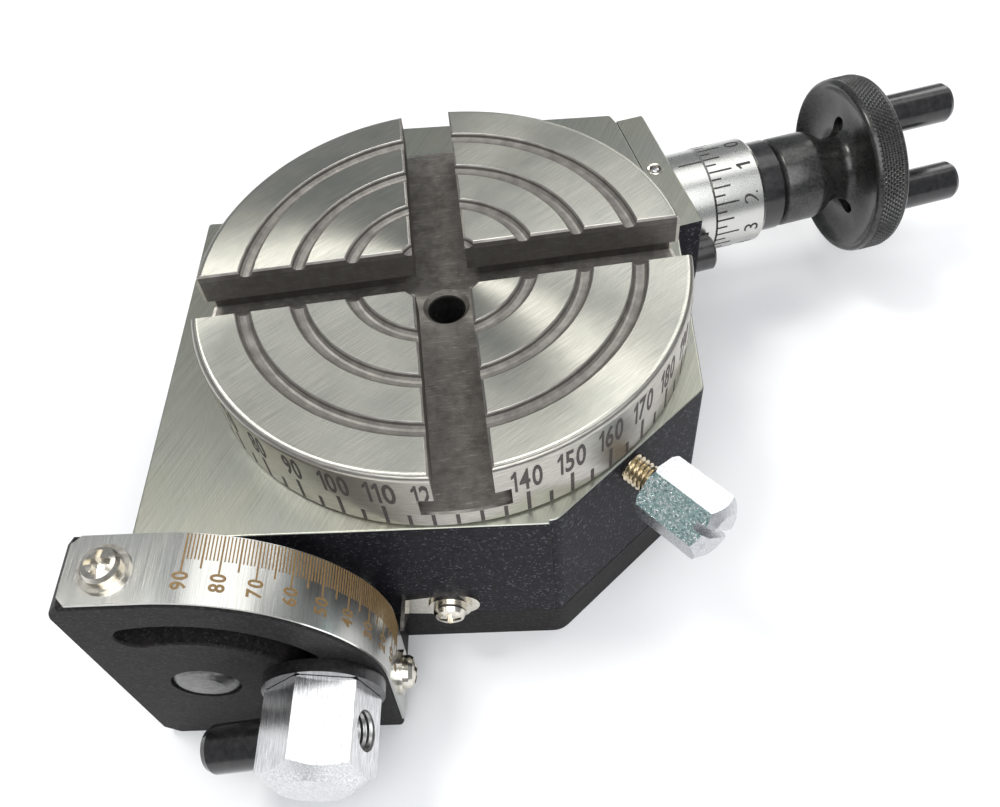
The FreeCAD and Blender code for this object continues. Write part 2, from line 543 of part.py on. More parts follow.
# worm wheel with hub
WZ0, WZ1 = WORM_Z - 4.5, WORM_Z + 4.5
ADD, DED = 1.2, 1.6
whl = cyl(WHEEL_R + ADD, WZ0, WZ1).fuse(cyl(18.0, WZ1 - 0.5, TABLE_BOT))
tl = PITCH / (2 * math.pi * WORM_R)       # tangent of the lead angle
gap = []
hp, hr_, ht = 1.30, 1.30 - 1.6 * 0.364, 1.30 + 2.2 * 0.364
z0 = WZ0 - 1
for k in range(TEETH):
    pts = [(WHEEL_R - DED, -hr_), (WHEEL_R - DED, hr_), (WHEEL_R + 2.2, ht), (WHEEL_R + 2.2, -ht)]
    sh = (WORM_Z - z0) * tl
    vs = [U * r_ + AX * (t_ + sh) + V(0, 0, z0) for r_, t_ in pts]
    g = Part.Face(Part.makePolygon(vs + [vs[0]])).extrude(AX * (-tl * 11.0) + V(0, 0, 11.0))
    g.rotate(O, Z, 360.0 / TEETH * k)
    gap.append(g)
whl = whl.cut(Part.makeCompound(gap))
whl = whl.cut(cyl(9.0, 0, 60)).cut(cyl(12.0, 45.8, 60))
for p in WS:
    whl = whl.cut(cyl(2.0, 20, 60, p.x, p.y)).cut(cyl(3.6, 20, WZ0 + 4.4, p.x, p.y))
save(whl.removeSplitter(), "worm_wheel")
save(Part.makeCompound([cap_screw(p + V(0, 0, WZ0 + 4.4), V(0, 0, -1), 3.5, 4.0, 2.0, 52.0 - WZ0 - 4.4, 3.0) for p in WS]), "wheel_screws")
spindle = one([cyl(9.0, 18.0, TABLE_BOT), cyl(12.0, 45.8, TABLE_BOT), cyl(7.0, 40, 51.5), cyl(7.0, 12.2, 19)]).cut(cyl(CENTRE_R, 0, 60))
save(spindle, "table_spindle")
nutw = ring(14.0, 9.0, 18.0, 19.95)
save(nutw, "spindle_washer")
snut = hexbar(O, Z, 22.0, 12.4, 18.0, V(1, 0, 0)).cut(cyl(7.0, 0, 30))
save(snut, "spindle_nut")

# =========================================================== worm and handwheel
shaft = one([rod(WP, AX, 4.4, -29.8, -15.0), rod(WP, AX, 4.3, -15.2, 15.2), rod(WP, AX, 6.5, 15.0, COLLAR_S1), rod(WP, AX, 5.0, 88.0, 112.5)])
# right-hand thread, one start; a crest lies on the near side at station 0
turns = 6
helix = Part.makeHelix(PITCH, PITCH * turns, WORM_R, 0)
th = 0.90
rb, rt = -2.0, ADD
prof = Part.makePolygon([V(WORM_R + rb, 0, -(th - rb * 0.364)), V(WORM_R + rt, 0, -(th - rt * 0.364)), V(WORM_R + rt, 0, (th - rt * 0.364)), V(WORM_R + rb, 0, (th - rb * 0.364)), V(WORM_R + rb, 0, -(th - rb * 0.364))])
thread = Part.Wire(helix.Edges).makePipeShell([prof], True, True)
# helix starts at angle 0 (its +X); put local X on +U, local Z on AX, crest at 180 deg -> station 0
m = FreeCAD.Matrix(U.x, 0, AX.x, 0, U.y, 0, AX.y, 0, U.z, 1, AX.z, 0, 0, 0, 0, 1)
thread.translate(V(0, 0, -PITCH * turns / 2 - PITCH / 2))
thread.Placement = FreeCAD.Placement(FreeCAD.Matrix(m)).multiply(thread.Placement)
thread.translate(WP)
if thread.Volume < 0:
    thread.reverse()
print("thread valid", thread.isValid())
thread = thread.common(rod(WP, AX, 9.0, -12.5, 12.5))
print("trimmed valid", thread.isValid())
worm = shaft.fuse(thread)
print("fused valid", worm.isValid())
worm = worm.cut(rod(WP + AX * 112.5, AX * -1, 2.5, -1, 14))
save(worm, "worm_shaft")
hubc = one([tube(WP, AX, 8.95, 6.5, DIAL_S0 + 0.2, DIAL_S1 + 0.5), revolve(
    [(DIAL_S1 + 0.1, 6.5), (DIAL_S1 + 0.1, COLLAR_R), (COLLAR_S1 - 0.9, COLLAR_R), (COLLAR_S1, COLLAR_R - 0.9), (COLLAR_S1, 6.5)], WP, AX, Z)])
save(hubc, "dial_collar")
hw_prof = [(COLLAR_S1 + 0.05, 5.0), (COLLAR_S1 + 0.05, HUB_R - 0.8), (HUB_S0 + 0.2, HUB_R), (98.3, HUB_R), (99.8, HUB_R - 0.6), (100.8, HUB_R - 1.9), (101.2, HUB_R - 3.2),
           (102.5, 7.1), (104.4, 7.9), (106.4, 9.6), (107.9, 12.0), (108.45, 15.0), (107.5, 17.8), (105.9, 19.5), (105.4, 20.2), (105.7, 20.85), (107.0, HAND_R), (112.9, HAND_R),
           (113.7, HAND_R - 0.5), (114.0, HAND_R - 1.2), (114.0, 5.0)]
hand = revolve(hw_prof, WP, AX, Z)
PINS = [WP + U * (sg * PIN_RHO * math.cos(rad(PIN_ANG))) + Z * (sg * PIN_RHO * math.sin(rad(PIN_ANG))) for sg in (1, -1)]
for p in PINS:
    hand = hand.cut(rod(p, AX, 3.0, 100, 120))
GRUB = V(0, 0, -1)
hand = hand.cut(rod(WP + AX * 94.5, GRUB, 2.0, 5.0, 12))
save(hand, "handwheel")
pin_prof = [(109.8, 0), (109.8, 3.0), (WHEEL_S1, 3.0), (WHEEL_S1, PIN_R), (PIN_S1 - 1.4, PIN_R), (PIN_S1 - 0.5, PIN_R - 0.5), (PIN_S1, PIN_R - 1.5), (PIN_S1, 0)]
save(Part.makeCompound([revolve(pin_prof, p, AX, Z) for p in PINS]), "handwheel_pins")
save(cap_screw(WP + AX * WHEEL_S1, AX, 4.2, 4.0, 2.5, 14.0, 3.0), "handwheel_screw")
save(rod(WP + AX * 94.5, GRUB, 2.0, 5.0, 9.6), "hub_grub_screw")

# ==================================================================== dial ring
dial = revolve([(DIAL_S0, 9.0), (DIAL_S0, DIAL_R - 0.3), (DIAL_S0 + 0.3, DIAL_R), (DIAL_S1 - 1.0, DIAL_R), (DIAL_S1, DIAL_R - 0.9), (DIAL_S1, 9.0)], WP, AX, Z)
save(dial, "dial_ring")
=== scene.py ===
import bpy, bmesh, json, math
from mathutils import Vector, Matrix


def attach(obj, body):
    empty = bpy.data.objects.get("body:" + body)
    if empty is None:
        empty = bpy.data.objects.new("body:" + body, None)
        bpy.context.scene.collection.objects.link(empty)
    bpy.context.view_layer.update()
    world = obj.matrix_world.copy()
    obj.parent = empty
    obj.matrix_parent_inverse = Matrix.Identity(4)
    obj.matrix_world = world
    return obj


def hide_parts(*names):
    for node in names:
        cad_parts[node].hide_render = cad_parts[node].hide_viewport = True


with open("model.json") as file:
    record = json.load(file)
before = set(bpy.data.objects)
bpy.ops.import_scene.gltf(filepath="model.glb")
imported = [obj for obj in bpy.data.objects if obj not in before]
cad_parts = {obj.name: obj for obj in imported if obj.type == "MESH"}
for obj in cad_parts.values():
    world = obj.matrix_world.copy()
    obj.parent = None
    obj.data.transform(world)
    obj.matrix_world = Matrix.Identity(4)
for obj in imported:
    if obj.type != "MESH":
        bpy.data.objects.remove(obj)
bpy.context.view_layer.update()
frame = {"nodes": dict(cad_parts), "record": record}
N = frame["nodes"]
MM = 0.001
V = Vector


def rad(a):
    return math.radians(a)


# ------------------------------------------------------------ shared positions
YAW = rad(14.4)
AX = V((math.cos(YAW), math.sin(YAW), 0))
U = V((-math.sin(YAW), math.cos(YAW), 0))
Z = V((0, 0, 1))
WP = U * 31.07 + V((0, 0, 35.28))
PIV = V((-47.2, 0, 26.5))
STUD = PIV + V((math.cos(rad(-1.5)), 0, math.sin(rad(-1.5)))) * 22.75
LN = V((math.cos(rad(-46.36)), math.sin(rad(-46.36)), 0))
LP = V((0, 0, 43.2)) + V((0.7236, 0.690, 0)) * 1.55
SLOT_TURN = 5.85


# ------------------------------------------------------------------- materials
class Mat:
    """Small helper round a node tree: everything is in object coordinates, in millimetres."""

    def __init__(self, name):
        self.m = bpy.data.materials.new(name)
        self.m.use_nodes = True
        self.t = self.m.node_tree
        self.b = self.t.nodes["Principled BSDF"]
        self.co = self.t.nodes.new("ShaderNodeTexCoord")

    def node(self, kind, **kw):
        n = self.t.nodes.new(kind)
        for k, v in kw.items():
            setattr(n, k, v)
        return n

    def link(self, a, b):
        self.t.links.new(a, b)

    def put(self, sock, v):
        if hasattr(v, "links"):
            self.link(v, sock)
        else:
            sock.default_value = v

    def mapped(self, scale=(1, 1, 1), rot=(0, 0, 0), loc=(0, 0, 0)):
        n = self.node("ShaderNodeMapping")
        self.link(self.co.outputs["Object"], n.inputs["Vector"])
        n.inputs["Scale"].default_value = [1000.0 * s for s in scale]
        n.inputs["Rotation"].default_value = rot
        n.inputs["Location"].default_value = loc
        return n.outputs["Vector"]

    def noise(self, scale, vec=None, detail=3.0, rough=0.55, dist=0.0):
        n = self.node("ShaderNodeTexNoise")
        self.link(vec if vec is not None else self.mapped(), n.inputs["Vector"])
        n.inputs["Scale"].default_value = scale
        n.inputs["Detail"].default_value = detail
        n.inputs["Roughness"].default_value = rough
        n.inputs["Distortion"].default_value = dist
        return n.outputs["Fac"]

    def voronoi(self, scale, vec=None, feature="F1", out="Distance"):
        n = self.node("ShaderNodeTexVoronoi", feature=feature)
        self.link(vec if vec is not None else self.mapped(), n.inputs["Vector"])
        n.inputs["Scale"].default_value = scale
        return n.outputs[out]

    def ramp(self, fac, stops):
        n = self.node("ShaderNodeValToRGB")
        self.link(fac, n.inputs["Fac"])
        e = n.color_ramp.elements
        while len(e) < len(stops):
            e.new(0.5)
        for el, (p, c) in zip(e, stops):
            el.position = p
            el.color = (c, c, c, 1) if isinstance(c, (int, float)) else (*c, 1)
        return n.outputs["Color"]

    def math(self, op, a, b=0.0, c=0.0, clamp=False):
        n = self.node("ShaderNodeMath", operation=op)
        n.use_clamp = clamp
        for i, v in enumerate((a, b, c)):
            self.put(n.inputs[i], v)
        return n.outputs[0]

    def mix(self, f, a, b):
        n = self.node("ShaderNodeMix", data_type="RGBA")
        self.put(n.inputs[0], f)
        for i, v in ((6, a), (7, b)):
            self.put(n.inputs[i], v if hasattr(v, "links") else (*v, 1) if len(v) == 3 else v)
        return n.outputs[2]

    def fmix(self, f, a, b):
        n = self.node("ShaderNodeMix", data_type="FLOAT")
        self.put(n.inputs[0], f)
        self.put(n.inputs[2], a)
        self.put(n.inputs[3], b)
        return n.outputs[0]

    def xyz(self, vec=None):
        n = self.node("ShaderNodeSeparateXYZ")
        self.link(vec if vec is not None else self.co.outputs["Object"], n.inputs[0])
        return n.outputs

    def nrm(self):
        n = self.node("ShaderNodeSeparateXYZ")
        self.link(self.co.outputs["Normal"], n.inputs[0])
        return n.outputs

    def bump(self, h, strength=0.3, dist=0.00005, normal=None):
        n = self.node("ShaderNodeBump")
        n.inputs["Strength"].default_value = strength
        n.inputs["Distance"].default_value = dist
        self.link(h, n.inputs["Height"])
        if normal is not None:
            self.link(normal, n.inputs["Normal"])
        return n.outputs["Normal"]

    def set(self, **kw):
        names = {"color": "Base Color", "rough": "Roughness", "metal": "Metallic", "normal": "Normal", "spec": "Specular IOR Level",
                 "coat": "Coat Weight", "coatr": "Coat Roughness", "aniso": "Anisotropic", "anisor": "Anisotropic Rotation", "tangent": "Tangent"}
        for k, v in kw.items():
            s = self.b.inputs[names[k]]
            if isinstance(v, tuple) and len(v) == 3 and k == "color":
                v = (*v, 1)
            self.put(s, v)
        return self


def radial_tangent(M, axis="Z"):
    n = M.node("ShaderNodeTangent", direction_type="RADIAL", axis=axis)
    return n.outputs[0]


def lines(M, ang, fine=9.0, along=0.12, loc=(0, 0, 0)):
    """Stretched noise: straight grain running at angle ang in the XY plane."""
    turn = M.mapped((1, 1, 1), (0, 0, -rad(ang)), loc)
    n = M.node("ShaderNodeMapping")
    M.link(turn, n.inputs["Vector"])
    n.inputs["Scale"].default_value = (along, fine, fine)
    return M.noise(1.0, n.outputs["Vector"], 4.0, 0.6)


def smears(M, scale=0.05):
    return M.noise(scale, None, 3.0, 0.5)


def mat_table():
    M = Mat("ground_table")
    p, n = M.xyz(), M.nrm()
    top = M.math("MULTIPLY", M.math("GREATER_THAN", n[2], 0.9), M.math("GREATER_THAN", p[2], 0.0648))
    low = M.math("LESS_THAN", p[2], 0.0649)
    rr = M.math("SQRT", M.math("ADD", M.math("MULTIPLY", p[0], p[0]), M.math("MULTIPLY", p[1], p[1])))
    inside = M.math("MULTIPLY", M.math("LESS_THAN", rr, 0.04935), low)
    grain = lines(M, 38, 10, 0.10)
    grain2 = lines(M, 52, 16, 0.2, (3, 1, 0))
    rings = M.noise(1.0, None, 2.0)
    # turned rings: noise of radius
    cmb = M.node("ShaderNodeCombineXYZ")
    M.link(M.math("MULTIPLY", rr, 5200.0), cmb.inputs[0])
    tr = M.noise(1.0, cmb.outputs[0], 3.0, 0.7)
    g = M.math("ADD", M.math("MULTIPLY", grain, 0.45), M.math("ADD", M.math("MULTIPLY", grain2, 0.25), M.math("MULTIPLY", tr, 0.30)))
    c_top = M.ramp(g, [(0.38, (0.36, 0.36, 0.315)), (0.5, (0.57, 0.565, 0.50)), (0.62, (0.76, 0.75, 0.675))])
    blotch = M.noise(0.07, None, 4.0, 0.6)
    c_top = M.mix(M.ramp(blotch, [(0.42, 0.0), (0.66, 0.45)]), c_top, (0.34, 0.355, 0.325))
    # slots: dark cut surfaces with cutter marks; the near-upright slot and groove walls also get painted shade
    # further down
    mill = M.node("ShaderNodeTexWave", wave_type="RINGS", rings_direction="Z")
    M.link(M.mapped((1, 1, 0), (0, 0, 0), (0, 31, 0)), mill.inputs["Vector"])
    mill.inputs["Scale"].default_value = 0.42
    mill.inputs["Distortion"].default_value = 3.0
    mill.inputs["Detail"].default_value = 3.0
    dirt = M.noise(0.35, None, 5.0, 0.65)
    scr = M.ramp(lines(M, 5.85, 3.2, 0.35, (7, 2, 0)), [(0.55, 0.0), (0.70, 0.55)])
    c_slot = M.mix(M.math("ADD", M.math("MULTIPLY", mill.outputs["Fac"], 0.05), M.math("MULTIPLY", scr, 0.8)), (0.20, 0.188, 0.168), (0.52, 0.49, 0.44))
    c_slot = M.mix(M.ramp(dirt, [(0.42, 0.0), (0.68, 0.6)]), c_slot, (0.080, 0.070, 0.062))
    # painted shade: near-upright faces inside the table (slot and groove walls) are painted darker, as if in shade
    painted_shade_walls = M.math("LESS_THAN", M.math("ABSOLUTE", n[2]), 0.25)
    c_slot = M.mix(M.math("MULTIPLY", painted_shade_walls, 0.6), c_slot, (0.105, 0.098, 0.088))
    ringz = M.math("MULTIPLY", M.math("GREATER_THAN", p[2], 0.0633), low)
    c_ring = M.mix(M.ramp(dirt, [(0.35, 0.1), (0.65, 0.8)]), (0.30, 0.285, 0.26), (0.15, 0.14, 0.13))
    c_slot = M.mix(M.math("MULTIPLY", ringz, M.math("SUBTRACT", 1.0, M.math("MULTIPLY", painted_shade_walls, 0.6))), c_slot, c_ring)
    c_rim = M.ramp(M.noise(1.0, M.mapped((0.4, 0.4, 9)), 3.0), [(0.35, (0.37, 0.355, 0.32)), (0.65, (0.60, 0.58, 0.535))])
    c = M.mix(inside, c_rim, c_slot)
    c = M.mix(top, c, c_top)
    r = M.fmix(top, M.fmix(inside, 0.34, 0.5), M.math("ADD", 0.27, M.math("MULTIPLY", g, 0.18)))
    h = M.fmix(inside, g, M.math("ADD", M.math("MULTIPLY", scr, 0.5), dirt))
    M.set(color=c, rough=r, metal=M.fmix(inside, 1.0, 0.55), aniso=0.95, tangent=radial_tangent(M), normal=M.bump(h, 0.28, 0.00004))
    return M.m


def mat_body():
    M = Mat("painted_casting")
    p, n = M.xyz(), M.nrm()
    top = M.math("MULTIPLY", M.math("GREATER_THAN", n[2], 0.6), M.math("GREATER_THAN", p[2], 0.0479))
    fl = M.voronoi(2.6, None, "F1", "Color")
    sp = M.node("ShaderNodeSeparateColor")
    M.link(fl, sp.inputs[0])
    fleck = M.math("GREATER_THAN", sp.outputs[0], 0.90)
    fleck = M.math("MULTIPLY", fleck, sp.outputs[1])
    base = M.ramp(M.noise(0.9, None, 6.0, 0.7), [(0.3, (0.006, 0.006, 0.008)), (0.7, (0.022, 0.021, 0.026))])
    paint = M.mix(M.math("MULTIPLY", fleck, 0.5), base, (0.17, 0.17, 0.21))
    grain = lines(M, 66, 7, 0.05)
    fine = lines(M, 100, 18, 0.3, (2, 5, 0))
    g = M.math("ADD", M.math("MULTIPLY", grain, 0.6), M.math("MULTIPLY", fine, 0.4))
    steel = M.ramp(g, [(0.36, (0.28, 0.285, 0.24)), (0.64, (0.50, 0.50, 0.43))])
    steel = M.mix(M.ramp(M.noise(0.045, None, 4.0, 0.6), [(0.4, 0.0), (0.7, 0.5)]), steel, (0.34, 0.37, 0.36))
    hgt = M.math("ADD", M.noise(1.6, None, 5.0, 0.65), M.math("MULTIPLY", M.noise(5.0, None, 2.0), 0.5))
    M.set(color=M.mix(top, paint, steel), rough=M.fmix(top, M.math("ADD", 0.36, M.math("MULTIPLY", hgt, 0.12)), M.math("ADD", 0.30, M.math("MULTIPLY", g, 0.16))),
          metal=M.fmix(top, M.math("MULTIPLY", fleck, 0.5), 1.0), spec=0.06, normal=M.bump(M.fmix(top, hgt, M.math("MULTIPLY", g, 0.25)), 0.5, 0.00012))
    return M.m


def mat_ear():
    M = Mat("ear_casting")
    big = M.noise(0.22, None, 5.0, 0.6)
    med = M.noise(1.3, None, 6.0, 0.7)
    fl = M.voronoi(2.9, None, "F1", "Color")
    sp = M.node("ShaderNodeSeparateColor")
    M.link(fl, sp.inputs[0])
    fleck = M.math("MULTIPLY", M.math("GREATER_THAN", sp.outputs[0], 0.9), 0.45)
    c = M.ramp(med, [(0.3, (0.007, 0.007, 0.008)), (0.7, (0.028, 0.026, 0.026))])
    c = M.mix(M.ramp(big, [(0.5, 0.0), (0.72, 0.35)]), c, (0.036, 0.030, 0.028))
    c = M.mix(fleck, c, (0.055, 0.052, 0.053))
    M.set(color=c, rough=M.math("ADD", 0.42, M.math("MULTIPLY", med, 0.16)), metal=0.0, spec=0.07, normal=M.bump(M.math("ADD", M.math("MULTIPLY", med, 0.6), big), 0.55, 0.00018))
    return M.m


def mat_metal(name, c0, c1, rough, scale=0.8, rvar=0.12, bump=0.12, metal=1.0, stretch=(1, 1, 1), aniso=0.0, tangent=None, spots=None, coat=0.0):
    M = Mat(name)
    n1 = M.noise(scale, M.mapped(stretch), 5.0, 0.62)
    n2 = M.noise(scale * 0.13, None, 3.0)
    c = M.ramp(n1, [(0.32, c0), (0.68, c1)])
    if spots:
        c = M.mix(M.ramp(n2, [(0.5, 0.0), (0.75, spots[1])]), c, spots[0])
    r = M.math("ADD", rough - rvar / 2, M.math("MULTIPLY", n1, rvar))
    M.set(color=c, rough=r, metal=metal, normal=M.bump(n1, bump, 0.00004), coat=coat)
    if coat:
        M.set(coatr=0.16)
    if aniso:
        M.set(aniso=aniso)
        if tangent:
            M.set(tangent=tangent(M))
    return M.m


def mat_strip():
    M = Mat("stainless_strip")
    g = M.noise(1.0, M.mapped((9, 0.12, 9)), 4.0, 0.6)
    g2 = M.noise(0.06, None, 3.0)
    c = M.ramp(g, [(0.34, (0.46, 0.465, 0.44)), (0.66, (0.66, 0.65, 0.61))])
    c = M.mix(M.ramp(g2, [(0.45, 0.0), (0.7, 0.5)]), c, (0.50, 0.53, 0.52))
    M.set(color=c, rough=M.math("ADD", 0.16, M.math("MULTIPLY", g, 0.14)), metal=1.0, normal=M.bump(g, 0.10, 0.00003))
    return M.m


def mat_sparkle():
    """Bright zinc plate over a crystalline surface: the lock screw's knob. The knob flats facing up and to the front
    left get a painted highlight: pale sparkly crystals with near-white painted glints.
    """
    M = Mat("zinc_plate")
    col = M.voronoi(3.0, None, "F1", "Color")
    s = M.node("ShaderNodeSeparateColor")
    M.link(col, s.inputs[0])
    n = M.nrm()
    # painted highlight: knob flats whose normal points up and to the front left get the bright sparkly colour, the
    # other flats stay plain
    painted_highlight_face = M.math("ADD", M.math("MULTIPLY", n[0], -0.484), M.math("ADD", M.math("MULTIPLY", n[1], -0.462), M.math("MULTIPLY", n[2], 0.743)))
    painted_highlight_face = M.math("GREATER_THAN", painted_highlight_face, 0.93)
    fine = M.noise(1.4, None, 4.0, 0.6)
    plain = M.ramp(fine, [(0.3, (0.40, 0.41, 0.43)), (0.7, (0.58, 0.59, 0.61))])
    spangle_with_painted_glint = M.mix(s.outputs[0], (0.30, 0.46, 0.46), (0.62, 0.76, 0.75))
    # crystal cells above 0.86 turn near white: painted glints
    spangle_with_painted_glint = M.mix(M.math("GREATER_THAN", s.outputs[1], 0.86), spangle_with_painted_glint, (0.93, 0.97, 0.97))
    h = M.math("MULTIPLY", M.math("ADD", s.outputs[1], M.noise(3.0, None, 3.0)), M.math("ADD", 0.12, painted_highlight_face))
    M.set(color=M.mix(painted_highlight_face, plain, spangle_with_painted_glint), rough=M.math("ADD", 0.21, M.math("MULTIPLY", s.outputs[2], 0.16)), metal=1.0, normal=M.bump(h, 0.40, 0.00008))
    return M.m


def mat_ink(name, c0, c1, rough=0.6):
    M = Mat(name)
    n = M.noise(2.2, None, 5.0, 0.7)
    M.set(color=M.ramp(n, [(0.3, c0), (0.7, c1)]), rough=M.math("ADD", rough - 0.1, M.math("MULTIPLY", n, 0.2)), metal=0.0, normal=M.bump(n, 0.2, 0.00003))
    return M.m


TABLE = mat_table()
BODY = mat_body()
EAR = mat_ear()
STRIP = mat_strip()
NICKEL = mat_metal("nickel", (0.60, 0.57, 0.50), (0.80, 0.77, 0.70), 0.20, 0.9, 0.14, 0.18, spots=((0.45, 0.40, 0.33), 0.5))
CHROME = mat_metal("chrome_plate", (0.58, 0.59, 0.60), (0.82, 0.82, 0.83), 0.17, 0.9, 0.16, 0.3, stretch=(2.2, 0.5, 2.2), spots=((0.66, 0.67, 0.68), 0.4))
SATIN = mat_metal("satin_chrome", (0.50, 0.50, 0.475), (0.66, 0.66, 0.63), 0.27, 2.6, 0.08, 0.05, stretch=(3.0, 0.4, 3.0))
BLACK = mat_metal("black_oxide", (0.012, 0.012, 0.013), (0.038, 0.037, 0.038), 0.25, 0.7, 0.14, 0.10, metal=0.5, spots=((0.055, 0.052, 0.052), 0.6), coat=0.5)
KNURL = mat_metal("black_oxide_knurl", (0.014, 0.014, 0.014), (0.055, 0.055, 0.052), 0.30, 1.4, 0.16, 0.14, metal=0.5, spots=((0.09, 0.088, 0.085), 0.5), coat=0.25)
STEEL = mat_metal("machined_steel", (0.34, 0.34, 0.34), (0.52, 0.52, 0.51), 0.30, 1.2, 0.14, 0.15, spots=((0.25, 0.24, 0.23), 0.5))
PIN = mat_metal("pivot_steel", (0.10, 0.10, 0.10), (0.22, 0.22, 0.215), 0.36, 0.8, 0.14, 0.25, spots=((0.28, 0.27, 0.26), 0.6))
NUT = mat_metal("nut_chrome", (0.42, 0.42, 0.43), (0.90, 0.90, 0.91), 0.20, 1.3, 0.20, 0.5, stretch=(2.6, 0.28, 2.6), spots=((0.55, 0.55, 0.56), 0.5))
BRONZE = mat_metal("bronze", (0.42, 0.26, 0.11), (0.60, 0.40, 0.19), 0.30, 1.0, 0.16, 0.15)
BRASS = mat_metal("brass_bits", (0.46, 0.38, 0.25), (0.70, 0.62, 0.47), 0.24, 1.2, 0.14, 0.12, spots=((0.62, 0.58, 0.50), 0.7))
ZINC = mat_sparkle()
INK = mat_ink("engraving_black", (0.016, 0.013, 0.013), (0.085, 0.07, 0.065))
INKD = mat_ink("engraving_dial", (0.010, 0.009, 0.009), (0.04, 0.035, 0.033))
INKG = mat_ink("engraving_gold", (0.13, 0.075, 0.025), (0.27, 0.17, 0.065), 0.5)

FINISH = {"ground_table": TABLE, "painted_casting": BODY, "ear_casting": EAR, "stainless_strip": STRIP, "nickel": NICKEL, "chrome_plate": CHROME,
          "satin_chrome": SATIN, "black_oxide": BLACK, "machined_steel": STEEL, "bronze": BRONZE, "brass_bits": BRASS, "zinc_plate": ZINC}


def coat(o, m):
    o.data.materials.clear()
    o.data.materials.append(m)
    for p in o.data.polygons:
        p.material_index = 0


subs = {s["node"]: s.get("material_slot") for s in frame["record"]["subparts"]}
for n, o in N.items():
    coat(o, FINISH.get(subs.get(n), STEEL))
if "front_pivot_pin" in N:
    coat(N["front_pivot_pin"], PIN)
if "clamp_nut" in N:
    coat(N["clamp_nut"], NUT)
if "lock_knob" in N:
    coat(N["lock_knob"], ZINC)


# -------------------------------------------------------------------- geometry
def piece(name, verts, faces, mat, body, angle=35.0, repl=()):
    me = bpy.data.meshes.new(name)
    me.from_pydata([v * MM for v in verts], [], faces)
    me.validate()
    bm = bmesh.new()
    bm.from_mesh(me)
    bmesh.ops.recalc_face_normals(bm, faces=bm.faces)
    bm.to_mesh(me)
    bm.free()
    me.shade_smooth()
    me.set_sharp_from_angle(angle=rad(angle))
    me.materials.append(mat)
    o = bpy.data.objects.new(name, me)
    bpy.context.scene.collection.objects.link(o)
    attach(o, body)
    if repl:
        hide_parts(*[r for r in repl if r in N])
    return o


def grid_faces(rows, cols, base=0, close_u=True, close_v=False):
    f = []
    for i in range(rows if close_v else rows - 1):
        a, b = base + i * cols, base + ((i + 1) % rows) * cols
        for j in range(cols if close_u else cols - 1):
            k = (j + 1) % cols
            f.append((a + j, a + k, b + k, b + j))
    return f


def lathe(profile, origin, d, ref, seg, fn=None, closed=True):
    """profile: (station, radius) loop; fn(angle, station, radius) may change the radius."""
    side = d.cross(ref)
    vs = []
    for s, r in profile:
        for j in range(seg):
            a = 2 * math.pi * j / seg
            rr = fn(a, s, r) if fn else r
            vs.append(origin + d * s + (ref * math.cos(a) + side * math.sin(a)) * rr)
    return vs, grid_faces(len(profile), seg, 0, True, closed)


def solid_rod_caps(vs, fs, seg, rows):
    fs = list(fs)
    fs.append(tuple(reversed(range(seg))))
    fs.append(tuple(range((rows - 1) * seg, rows * seg)))
    return fs


def wave(x):
    x = x % 1.0
    return 4 * x if x < 0.25 else (2 - 4 * x if x < 0.75 else 4 * x - 4)


def tri(x):
    x = x % 1.0
    return 1 - abs(2 * x - 1)


def thread_rod(name, origin, d, ref, r, pitch, depth, s0, s1, mat, body, seg=64, per=10, inner=False, repl=(), rout=None, hand=1):
    """A helical thread. Outside thread on a rod, or inside thread on a thin sleeve when inner is true."""
    rows = int((s1 - s0) / pitch * per) + 1
    side = d.cross(ref)
    vs = []
    for i in range(rows):
        s = s0 + (s1 - s0) * i / (rows - 1)
        fade = min(1.0, (s - s0) / (0.9 * pitch), (s1 - s) / (0.9 * pitch))
        for j in range(seg):
            a = 2 * math.pi * j / seg
            t = tri(s / pitch - hand * a / (2 * math.pi))
            t = min(1.0, max(0.0, 1.18 * t - 0.09))
            if inner:
                rr = r + depth * (1 - t * max(0.0, fade))
            else:
                rr = r - depth * (1 - t) - depth * (1 - max(0.0, fade)) * t * 0.9
            vs.append(origin + d * s + (ref * math.cos(a) + side * math.sin(a)) * rr)
    fs = grid_faces(rows, seg, 0, True, False)
    if inner:
        base = len(vs)
        for i in range(rows):
            s = s0 + (s1 - s0) * i / (rows - 1)
            for j in range(seg):
                a = 2 * math.pi * j / seg
                vs.append(origin + d * s + (ref * math.cos(a) + side * math.sin(a)) * rout)
        fs += grid_faces(rows, seg, base, True, False)
        for j in range(seg):
            k = (j + 1) % seg
            fs.append((j, k, base + k, base + j))
            q = (rows - 1) * seg
            fs.append((q + j, q + k, base + q + k, base + q + j))
    else:
        fs = solid_rod_caps(vs, fs, seg, rows)
    return piece(name, vs, fs, mat, body, 50, repl)


def slab(quad_fn, u0, u1, v0, v1, h0, h1, nu=1, nv=1):
    """A thin bar: quad_fn(u, v, h) gives a point; returns verts and faces of a closed box."""
    vs = []
    for h in (h0, h1):
        for i in range(nu + 1):
            for j in range(nv + 1):
                vs.append(quad_fn(u0 + (u1 - u0) * i / nu, v0 + (v1 - v0) * j / nv, h))
    n = (nu + 1) * (nv + 1)
    fs = []

    def ix(i, j, k):
        return k * n + i * (nv + 1) + j
    for i in range(nu):
        for j in range(nv):
            fs.append((ix(i, j, 1), ix(i + 1, j, 1), ix(i + 1, j + 1, 1), ix(i, j + 1, 1)))
            fs.append((ix(i, j, 0), ix(i, j + 1, 0), ix(i + 1, j + 1, 0), ix(i + 1, j, 0)))
    for i in range(nu):
        for j in (0, nv):
            fs.append((ix(i, j, 0), ix(i + 1, j, 0), ix(i + 1, j, 1), ix(i, j, 1)))
    for j in range(nv):
        for i in (0, nu):
            fs.append((ix(i, j, 0), ix(i, j + 1, 0), ix(i, j + 1, 1), ix(i, j, 1)))
    return vs, fs


